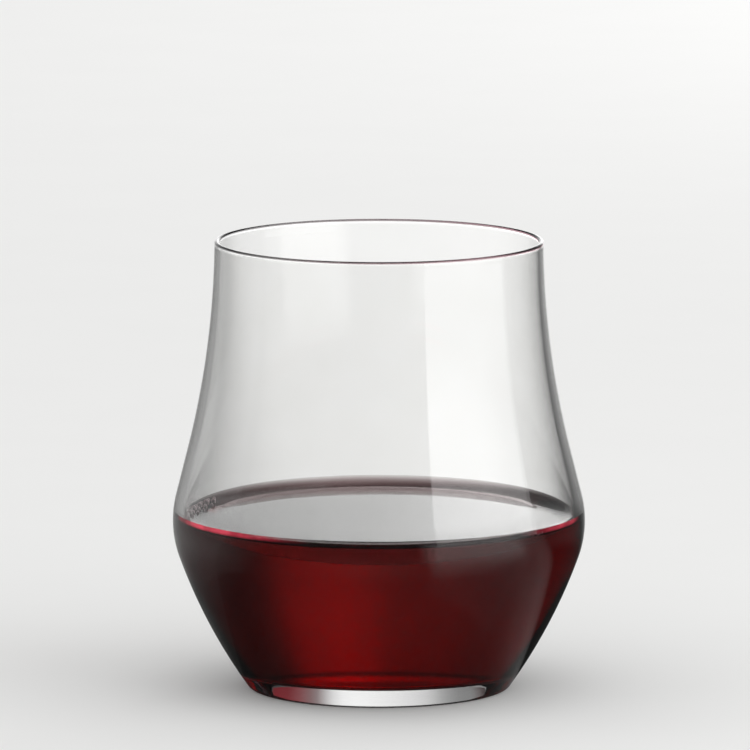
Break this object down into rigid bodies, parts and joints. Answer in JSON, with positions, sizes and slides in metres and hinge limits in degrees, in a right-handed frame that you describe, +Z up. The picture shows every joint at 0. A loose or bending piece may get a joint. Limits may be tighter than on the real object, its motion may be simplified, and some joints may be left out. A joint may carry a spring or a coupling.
{
  "type": "stemless wine glass",
  "caption": "Clear stemless wine glass with a full belly, a narrower upright mouth and a thick base, holding red wine up to the belly.",
  "frame": {"origin": "middle of the foot, on the plane that the glass stands on", "axes": "+Z up along the axis of the glass, towards the lip; +X and +Y are level and alike, and -Y faces the viewer of the picture"},
  "size_m": [0.09, 0.09, 0.0982],
  "materials": {
    "glass": "gloss",
    "wine": "gloss"
  },
  "bodies": {
    "root": {"glass": "glass", "wine": "wine"}
  },
  "joints": []
}
